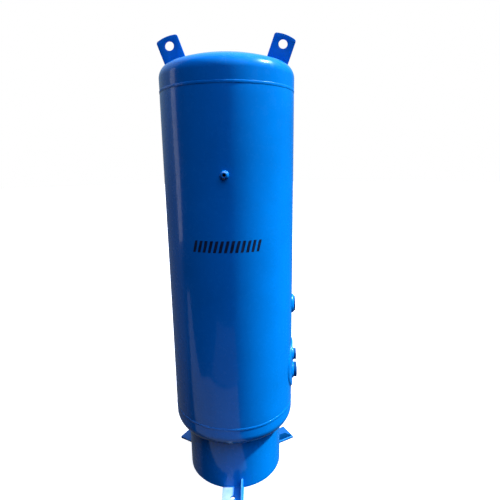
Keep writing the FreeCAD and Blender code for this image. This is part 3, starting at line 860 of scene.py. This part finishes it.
# Lifting lugs
def lug_pieces():
    eye = MOUNTS["lug_eye_right"]["pos_m"]
    lean = math.cos(LUG_TILT), math.sin(LUG_TILT)
    across = np.array([lean[0], 0.0, -lean[1]])
    up = np.array([lean[1], 0.0, lean[0]])
    through = np.array([0.0, -1.0, 0.0])
    origin = np.array(eye)
    to_centre = np.array([0.0, 0.0, TOP_CROWN_CENTRE]) - origin
    centre = (to_centre @ across, to_centre @ up)

    def seat(width, depth, sphere):
        """The height at which a point of the plate meets a sphere about the crown's centre."""
        return centre[1] + np.sqrt(sphere ** 2 - (width - centre[0]) ** 2 - depth ** 2)

    crest = LUG_CREST - LUG_SHOULDER
    crest_radius = (LUG_HALF_WIDTH ** 2 + crest ** 2) / (2 * crest)
    crest_centre = LUG_CREST - crest_radius
    inner = LUG_HALF_WIDTH - LUG_CORNER
    rise = math.sqrt((crest_radius - LUG_CORNER) ** 2 - inner ** 2)
    turn = math.atan2(rise, inner)
    shoulder = crest_centre + rise
    root = CROWN_RADIUS - PLATE / 2
    low_left = (-LUG_HALF_WIDTH, float(seat(-LUG_HALF_WIDTH, 0, root)))
    low_right = (LUG_HALF_WIDTH, float(seat(LUG_HALF_WIDTH, 0, root)))
    outline = np.concatenate([
        line_points(low_left, low_right),
        line_points(low_right, (LUG_HALF_WIDTH, shoulder)),
        arc_points((inner, shoulder), LUG_CORNER, 0, turn),
        arc_points((0, crest_centre), crest_radius, turn, math.pi - turn),
        arc_points((-inner, shoulder), LUG_CORNER, math.pi - turn, math.pi),
        line_points((-LUG_HALF_WIDTH, shoulder), low_left),
    ])
    hole = MOUNTS["lug_eye_right"]["dims"]["r_mm"] / 1000
    rows = holed_plate(flame_cut(outline, 0.00005), (0, 0), hole, LUG_PLATE, LUG_ROUNDING)
    plate = skin(laid(rows, origin, across, up, through), True)

    half_depth = LUG_PLATE / 2
    foot = rounded_outline([(-LUG_HALF_WIDTH, -half_depth), (LUG_HALF_WIDTH, -half_depth),
                            (LUG_HALF_WIDTH, half_depth), (-LUG_HALF_WIDTH, half_depth)], 0.0015)
    away = -inward_normals(foot)
    height = seat(foot[:, 0], foot[:, 1], CROWN_RADIUS)
    corner = laid(np.stack([foot[:, 0], height, foot[:, 1]], -1), origin, across, up, through)
    flat = away[:, :1] * across + away[:, 1:] * through
    normal = unit(corner - np.array([0.0, 0.0, TOP_CROWN_CENTRE]))
    first = unit(flat - normal * np.sum(flat * normal, 1)[:, None])
    weld = bead(corner, first, np.tile(up, (len(foot), 1)), LUG_WELD_LEG, True,
                LUG_WELD_PITCH, 7.0)
    for side, flip in (("right", np.ones(3)), ("left", np.array([-1.0, 1.0, 1.0]))):
        piece("lug_plate_" + side, [(plate[0] * flip, plate[1])], lug_enamel,
              "lifting_lug_" + side)
        bead_piece("lug_bead_" + side, [(weld[0] * flip, weld[1])], "lug_weld_" + side)


# Skirt
def skirt_piece():
    azimuth = circle(ROUND_STEPS)[:, None]
    top = BOTTOM_CROWN_CENTRE - math.sqrt(CROWN_RADIUS ** 2 - SKIRT_RADIUS ** 2) + 0.002
    ease = SKIRT_ROUNDING
    arc = np.linspace(0, math.pi / 2, 4)
    inner_wall = SKIRT_RADIUS - PLATE
    radius = np.concatenate([
        inner_wall + ease - ease * np.cos(arc), SKIRT_RADIUS - ease + ease * np.sin(arc),
        np.full(24, SKIRT_RADIUS), np.full(3, inner_wall)])[None, :]
    height = np.concatenate([
        ease - ease * np.sin(arc), ease - ease * np.cos(arc),
        np.linspace(ease, top, 25)[1:], np.linspace(top, ease, 4)[:-1]])[None, :]
    wave = (0.0007 * np.sin(2 * azimuth + 0.8) + 0.0004 * np.sin(5 * azimuth + 7 * height)
            + 0.0002 * np.sin(11 * azimuth - 20 * height))
    radius = radius + wave
    height = height + 0 * azimuth
    rows = outward(azimuth[:, 0])[:, None, :] * radius[..., None] + height[..., None] * UP
    made = piece("skirt_ring", [skin(rows, True)], wall_enamel, "skirt")
    half_width = WINDOW_SIZE[0] / 2
    half_height = WINDOW_SIZE[1] / 2
    low = WINDOW_HEIGHT - half_height
    high = WINDOW_HEIGHT + half_height
    outline = rounded_outline([(-half_width, low), (half_width, low), (half_width, high),
                               (-half_width, high)], WINDOW_CORNER)[::4]
    layers = [np.stack([outline[:, 0], np.full(len(outline), reach), outline[:, 1]], -1)
              for reach in WINDOW_CUT]
    tool = piece("skirt_window", [skin(np.stack(layers), False)], None, None)
    cut_out(made, tool)


# Feet, made at the front with the rib on the left, and then carried round
def foot_pieces():
    anchor = MOUNTS["anchor_bolts"]["dims"]
    hole = anchor["hole_r_mm"] / 1000
    hole_reach = anchor["pcd_mm"] / 2000
    inner = SKIRT_RADIUS - PLATE + 0.0004
    outline = rounded_outline([(-FOOT_HALF_WIDTH, -FOOT_REACH), (FOOT_HALF_WIDTH, -FOOT_REACH),
                               (FOOT_HALF_WIDTH, -inner), (-FOOT_HALF_WIDTH, -inner)], FOOT_CORNER)
    rows = holed_plate(flame_cut(outline, 0.00006), (0, -hole_reach), hole, FOOT_PLATE, FOOT_ROUNDING)
    plate = skin(laid(rows, (0, 0, FOOT_PLATE / 2), (1, 0, 0), (0, 1, 0), (0, 0, 1)), True)

    buried = SKIRT_RADIUS - PLATE - 0.001
    outline = rounded_outline([(buried, FOOT_PLATE - 0.0005), (GUSSET_NOSE_REACH, FOOT_PLATE - 0.0005),
                               (GUSSET_NOSE_REACH, GUSSET_NOSE_HEIGHT),
                               (GUSSET_TOP_REACH, GUSSET_TOP), (buried, GUSSET_TOP)], GUSSET_CORNER)
    rows = plain_plate(flame_cut(outline, 0.00005), GUSSET_PLATE, GUSSET_ROUNDING)
    rib = skin(laid(rows, (-GUSSET_OFFSET, 0, 0), (0, -1, 0), (0, 0, 1), (1, 0, 0)), False)

    leg = FOOT_WELD_LEG
    pitch = FOOT_WELD_PITCH
    beads = []
    for seed, side in ((1.0, -1), (2.0, 1)):
        face = -GUSSET_OFFSET + side * GUSSET_PLATE / 2
        wall = math.sqrt(SKIRT_RADIUS ** 2 - face ** 2)
        steps = bead_stations(GUSSET_NOSE_REACH - wall, pitch)
        reach = np.linspace(wall, GUSSET_NOSE_REACH - 0.001, steps)
        corner = np.stack([np.full(steps, face), -reach, np.full(steps, FOOT_PLATE)], -1)
        beads.append(bead(corner, np.tile([side, 0.0, 0.0], (steps, 1)), np.tile(UP, (steps, 1)),
                          leg, False, pitch, seed))
        steps = bead_stations(GUSSET_TOP - FOOT_PLATE, pitch)
        height = np.linspace(FOOT_PLATE, GUSSET_TOP - 0.001, steps)
        corner = np.stack([np.full(steps, face), np.full(steps, -wall), height], -1)
        along_wall = np.array([wall, face, 0.0]) / SKIRT_RADIUS * side
        beads.append(bead(corner, np.tile(along_wall, (steps, 1)), np.tile([0.0, -1.0, 0.0], (steps, 1)),
                          leg, False, pitch, seed + 2))
    start = math.asin((-GUSSET_OFFSET + GUSSET_PLATE / 2) / SKIRT_RADIUS)
    end = math.asin((FOOT_HALF_WIDTH - 0.001) / SKIRT_RADIUS)
    azimuth = np.linspace(start, end, bead_stations(SKIRT_RADIUS * (end - start), pitch))
    corner = outward(azimuth) * SKIRT_RADIUS + FOOT_PLATE * UP
    beads.append(bead(corner, outward(azimuth), np.tile(UP, (len(azimuth), 1)), leg, False, pitch, 6.0))

    for name, degrees in FOOT_AZIMUTHS.items():
        flip = np.array([-GUSSET_SIDES[name], 1.0, 1.0])

        def carried(part):
            return turned(part[0] * flip, degrees), part[1]

        plate_paint, rib_paint = FOOT_PAINTS[name]
        piece(name + "_plate", [carried(plate)], plate_paint, name + "_foot_plate")
        piece(name + "_rib", [carried(rib)], rib_paint, name + "_foot_gusset")
        bead_piece(name + "_bead", [carried(made) for made in beads], name + "_foot_weld")


# Stencilled band of slanted dashes
def stencil_band():
    pace = (DASHES_END - DASHES_START) / DASHES
    width = DASH_SHARE * pace
    slant = DASH_SLANT / SHELL_RADIUS
    tall = DASHES_HIGH - DASHES_LOW
    dashes = []
    for number in range(DASHES):
        share = np.linspace(0, 1, 25)
        corner = np.clip(np.minimum(share, 1 - share) / 0.10, 0, 1)
        corner = np.sqrt(1 - (1 - corner) ** 2)
        trim = DASH_CORNER * (1 - corner)
        up = np.linspace(0, 1, 20)[None, :]
        worn = 0.0005 * np.sin(17 * number + 23 * share)
        bottom = (DASHES_LOW + trim + worn)[:, None]
        top = (DASHES_HIGH - trim + 0.7 * worn[::-1])[:, None]
        height = bottom + (top - bottom) * up
        azimuth = DASHES_START + pace * number + width * share[:, None]
        azimuth = azimuth + slant * (height - DASHES_LOW) / tall
        azimuth = azimuth + 0.0012 * np.sin(9 * number + 140 * height)
        height = np.concatenate([height, height[:, ::-1]], 1)
        azimuth = np.concatenate([azimuth, azimuth[:, ::-1]], 1)
        lift = np.concatenate([np.full(20, DASH_FILM), np.full(20, DASH_ROOT)])[None, :]
        radius = SHELL_RADIUS + rolled(azimuth, height) + lift
        rows = outward(azimuth) * radius[..., None] + height[..., None] * UP
        dashes.append(skin(rows, False))
    piece("stencil_band", dashes, marking, None, sharp=50)


shell_piece()
head_piece("top_dished_head", "top_head", TOP_SEAM, TOP_FLANGE, 1, 0.0)
drain_hole = (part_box("drain_socket")[1].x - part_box("drain_socket")[0].x) / 2
head_piece("bottom_dished_head", "bottom_head", BOTTOM_SEAM, BOTTOM_FLANGE, -1, drain_hole)
seam_beads()
skirt_piece()
skirt_bead()
pad_pieces()
wall_sockets()
drain_socket()
lug_pieces()
foot_pieces()
stencil_band()


# Stage, light and camera
def stage_floor():
    bpy.ops.mesh.primitive_circle_add(vertices=96, radius=FLOOR_RADIUS, fill_type="NGON")
    floor = bpy.context.object
    floor.name = "floor"
    made, tree = new_material("pale_floor")
    place = placed(tree)
    pale = mixed(tree, noise(tree, place, 1.5), (0.80, 0.80, 0.80, 1), (0.84, 0.84, 0.84, 1))
    matt = add_node(tree, "ShaderNodeBsdfDiffuse", {"Color": pale})
    away = add_node(tree, "ShaderNodeVectorMath", {0: place}, operation="LENGTH").outputs["Value"]
    # The glow is off inside the skirt, so the floor under the vessel shows dark: painted shade
    level = ranged(tree, away, SKIRT_RADIUS - PLATE, SKIRT_RADIUS, 0.0, FLOOR_GLOW)
    glow = add_node(tree, "ShaderNodeEmission", {"Color": (1, 1, 1, 1), "Strength": level})
    surfaced(tree, add_node(tree, "ShaderNodeAddShader", {0: matt.outputs[0], 1: glow.outputs[0]}))
    floor.data.materials.append(made)
    floor.visible_glossy = False
    floor.visible_diffuse = False
    floor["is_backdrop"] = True


def studio_world():
    """White to the camera. The object is lit from overhead, more from the right, and its gloss
    shows a dark studio in front and a bright one behind."""
    world = bpy.data.worlds.new("studio")
    world.use_nodes = True
    tree = world.node_tree
    tree.nodes.clear()
    direction = add_node(tree, "ShaderNodeTexCoord").outputs["Generated"]
    axes = add_node(tree, "ShaderNodeSeparateXYZ", {0: direction}).outputs
    overhead = maths(tree, "POWER", maths(tree, "MAXIMUM", axes["Z"], 0.0), SKY_FOCUS)
    rightward = ranged(tree, axes["X"], -0.45, 1.0, 0.1, 3.0)
    level = maths(tree, "MULTIPLY", overhead, rightward)
    soft = mixed(tree, level, (0, 0, 0, 1), SKY_COLOUR)
    behind = maths(tree, "MULTIPLY", ranged(tree, axes["Y"], -0.05, 0.16, 0.0, 1.0),
                   ranged(tree, axes["X"], 0.15, 0.6, 1.0, 0.12))
    height = ranged(tree, axes["Z"], -0.1, 0.6, 0.0, 1.0)
    backdrop = mixed(tree, height, BACKDROP_LOW, BACKDROP_HIGH)
    gloss = mixed(tree, behind, STUDIO_FRONT, backdrop)
    rays = add_node(tree, "ShaderNodeLightPath").outputs
    colour = mixed(tree, rays["Is Glossy Ray"], soft, gloss)
    colour = mixed(tree, rays["Is Camera Ray"], colour, (1, 1, 1, 1))
    glow = add_node(tree, "ShaderNodeBackground", {"Color": colour, "Strength": 1.0})
    out = add_node(tree, "ShaderNodeOutputWorld")
    tree.links.new(glow.outputs[0], out.inputs[0])
    bpy.context.scene.world = world


def studio_board(name, points, faces):
    """A board that lights or shades the object, and that the camera doesn't see."""
    data = bpy.data.meshes.new(name)
    data.from_pydata(points, [], faces)
    board = bpy.data.objects.new(name, data)
    bpy.context.scene.collection.objects.link(board)
    board.visible_camera = False
    board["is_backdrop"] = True
    return board


def floor_card(name, corners, strength):
    """A pale card on the floor, which only the gloss shows."""
    card = studio_board(name, [(x, y, CARD_LIFT) for x, y in corners], [list(range(len(corners)))])
    made, tree = new_material(name)
    surfaced(tree, add_node(tree, "ShaderNodeEmission", {"Color": CARD_COLOUR, "Strength": strength}))
    card.data.materials.append(made)
    card.visible_diffuse = False
    card.visible_shadow = False


def black_flag():
    """A low curved black board on the left, which keeps light off the vessel's lower part."""
    azimuth = np.radians(np.linspace(FLAG_START, FLAG_END, FLAG_STATIONS))
    foot = outward(azimuth) * FLAG_DISTANCE
    points = np.concatenate([foot, foot + FLAG_HEIGHT * UP])
    faces = [(place, place + 1, place + FLAG_STATIONS + 1, place + FLAG_STATIONS)
             for place in range(FLAG_STATIONS - 1)]
    flag = studio_board("black_flag", points.tolist(), faces)
    made, tree = new_material("black_flock")
    surfaced(tree, add_node(tree, "ShaderNodeBsdfDiffuse", {"Color": FLAG_BLACK}))
    flag.data.materials.append(made)
    flag.visible_glossy = False


def toward(azimuth, elevation):
    return Vector((math.sin(azimuth) * math.cos(elevation),
                   -math.cos(azimuth) * math.cos(elevation), math.sin(elevation)))


def key_light():
    lamp = bpy.data.lights.new("key", "SUN")
    lamp.energy = KEY_STRENGTH
    lamp.angle = KEY_ANGLE
    lamp.color = KEY_COLOUR
    holder = bpy.data.objects.new("key", lamp)
    bpy.context.scene.collection.objects.link(holder)
    holder.rotation_mode = "QUATERNION"
    holder.rotation_quaternion = toward(KEY_AZIMUTH, KEY_ELEVATION).to_track_quat("Z", "Y")
    lit = bpy.data.collections.new("lit_by_key")
    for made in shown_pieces():
        lit.objects.link(made)
    holder.light_linking.receiver_collection = lit


def softbox(name, azimuth, elevation, distance, width, height, power, colour):
    lamp = bpy.data.lights.new(name, "AREA")
    lamp.shape = "RECTANGLE"
    lamp.size = width
    lamp.size_y = height
    lamp.energy = power
    lamp.color = colour
    holder = bpy.data.objects.new(name, lamp)
    bpy.context.scene.collection.objects.link(holder)
    out = toward(math.radians(azimuth), math.radians(elevation))
    holder.location = SOFTBOX_AIM + out * distance
    holder.rotation_mode = "QUATERNION"
    holder.rotation_quaternion = out.to_track_quat("Z", "Y")


def camera():
    data = bpy.data.cameras.new("camera")
    data.lens = CAMERA_LENS
    data.sensor_width = CAMERA_SENSOR
    holder = bpy.data.objects.new("camera", data)
    bpy.context.scene.collection.objects.link(holder)
    ahead = Vector((math.sin(CAMERA_YAW) * math.cos(CAMERA_PITCH),
                    math.cos(CAMERA_YAW) * math.cos(CAMERA_PITCH), math.sin(CAMERA_PITCH)))
    level = Vector((math.cos(CAMERA_YAW), -math.sin(CAMERA_YAW), 0))
    above = level.cross(ahead)
    right = math.cos(CAMERA_ROLL) * level + math.sin(CAMERA_ROLL) * above
    top = -math.sin(CAMERA_ROLL) * level + math.cos(CAMERA_ROLL) * above
    turn = Matrix((right, top, -ahead)).transposed()
    holder.matrix_world = Matrix.Translation(CAMERA_PLACE) @ turn.to_4x4()
    bpy.context.scene.camera = holder


stage_floor()
studio_world()
floor_card("front_card", [(0.14, -0.34), (-0.1, -0.32), (-0.62, -0.33), (-3.3, -0.45), (-3.3, -0.8),
                          (-1.1, -0.8), (-0.85, -1.1), (0.18, -1.3)], 1.0)
floor_card("far_card", [(0.25, -1.32), (-0.8, -1.2), (-1.0, -2.3), (0.3, -2.3)], 0.35)
black_flag()
key_light()
softbox("left_softbox", -91, 14, 3.0, 0.55, 2.4, 6, (0.9, 0.92, 1.0))
camera()
bpy.context.scene.view_settings.view_transform = "Standard"
